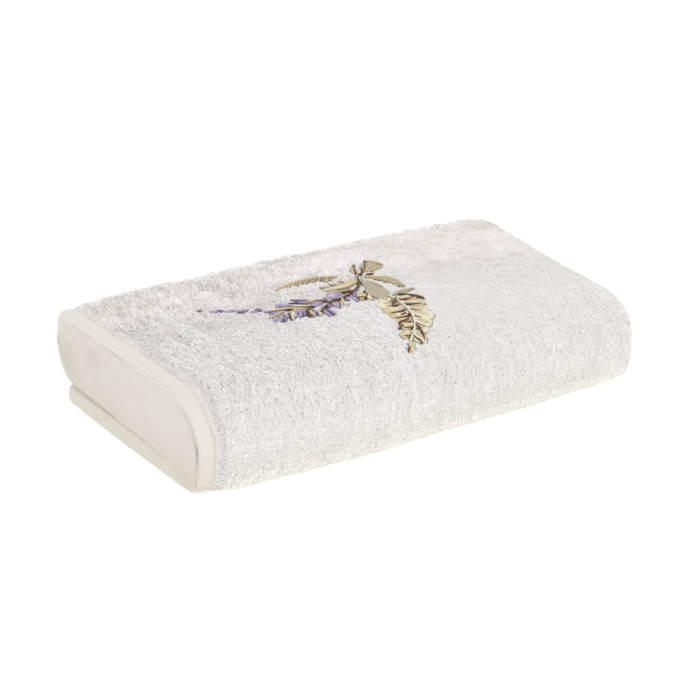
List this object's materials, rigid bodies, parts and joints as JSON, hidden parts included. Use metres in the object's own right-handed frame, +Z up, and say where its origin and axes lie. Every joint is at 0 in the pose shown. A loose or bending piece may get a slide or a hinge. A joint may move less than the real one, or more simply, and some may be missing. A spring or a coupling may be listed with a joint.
{
  "type": "folded bath towel",
  "caption": "Thick white terry bath towel folded into a flat pack, hems at one end, with a small stitched flower sprig on top.",
  "frame": {"origin": "on the surface that the pack lies on, under the middle of its box", "axes": "+X from the open end, where the hems show, to the folded end; +Y from the front fold to the back fold; +Z up"},
  "size_m": [0.35, 0.212, 0.0673],
  "materials": {
    "terry": "off-white cotton terry, dull, with a short dense pile and flat woven hems",
    "thread": "satin stitched thread in gold cream, taupe, brown and lilac"
  },
  "bodies": {
    "root": {"towel": "terry"}
  },
  "joints": []
}
